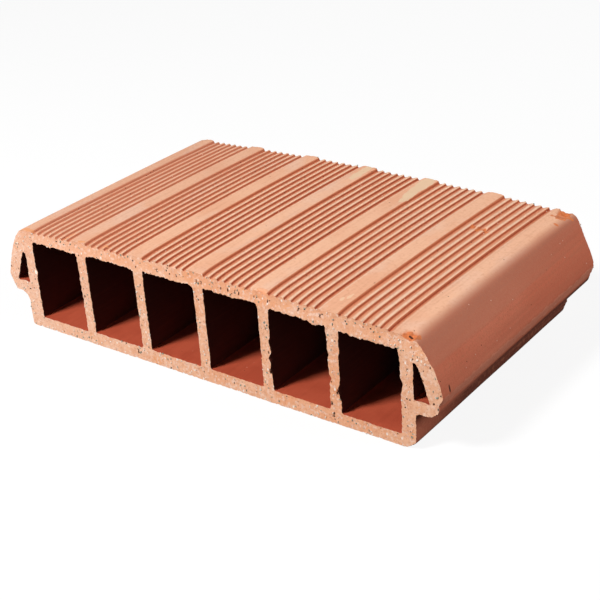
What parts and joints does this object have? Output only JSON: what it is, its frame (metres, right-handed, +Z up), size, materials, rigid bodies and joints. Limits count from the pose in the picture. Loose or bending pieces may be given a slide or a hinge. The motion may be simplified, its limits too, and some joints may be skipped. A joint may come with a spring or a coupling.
{
  "type": "hollow clay floor block",
  "caption": "Extruded hollow fired-clay floor block: crowned top with panels of saw-tooth grooves and smooth lands, square through cells, and nibs along both sides that rest on joists",
  "frame": {"origin": "middle of the flat underside", "axes": "X across the block from nib to nib, Y along the cells with the pictured end at -Y, Z up from the underside to the crowned top"},
  "size_m": [0.4494, 0.254, 0.1],
  "materials": {
    "fired_clay": "matt fired clay, unglazed, smooth from the die on the long faces and torn by the cutting wire on the ends"
  },
  "bodies": {
    "root": {"floor_block": "fired_clay"}
  },
  "joints": []
}
